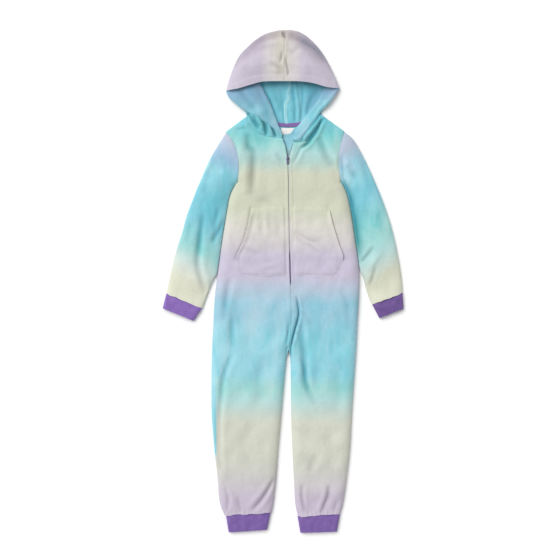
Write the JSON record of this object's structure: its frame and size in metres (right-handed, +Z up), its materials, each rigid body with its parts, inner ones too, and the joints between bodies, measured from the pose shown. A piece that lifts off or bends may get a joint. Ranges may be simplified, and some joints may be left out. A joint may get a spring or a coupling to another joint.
{
  "type": "onesie pajama",
  "caption": "Child's hooded one-piece pajama of plush fleece, laid flat, with a front zip, two slanted pockets and ribbed cuffs.",
  "frame": {"origin": "middle of the garment's bounding box, on the surface that it lies on", "axes": "+Y towards the hood, +Z up out of the front, +X towards the wearer's left sleeve as the garment lies on its back"},
  "size_m": [0.626, 1.3043, 0.0282],
  "materials": {
    "plush": "brushed plush fleece, ombre dyed",
    "plush_lavender": "brushed plush fleece, ombre dyed",
    "plush_cream": "brushed plush fleece, ombre dyed",
    "rib": "knitted rib",
    "tape": "woven tape",
    "label": "woven satin, bare",
    "zip": "dyed coil zip and enamelled slider"
  },
  "bodies": {
    "garment": {"front_left": "plush", "front_right": "plush", "back_left": "plush", "back_right": "plush", "sleeve_left": "plush", "sleeve_right": "plush", "hood_left": "plush_lavender", "hood_right": "plush_lavender", "pocket_left": "plush_cream", "pocket_right": "plush_cream", "wrist_cuff_left": "rib", "wrist_cuff_right": "rib", "ankle_cuff_left": "rib", "ankle_cuff_right": "rib", "zip_left": "zip", "zip_right": "zip", "zip_slider": "zip", "neck_tape": "tape", "neck_label": "label"},
    "pull": {"zip_pull": "zip"}
  },
  "joints": [
    {"name": "pull_hinge", "type": "hinge", "parent": "garment", "child": "pull", "pos_m": [0.0123, 0.316, 0.01693], "axis": [-1, 0, 0], "range_deg": [0, 165]}
  ]
}
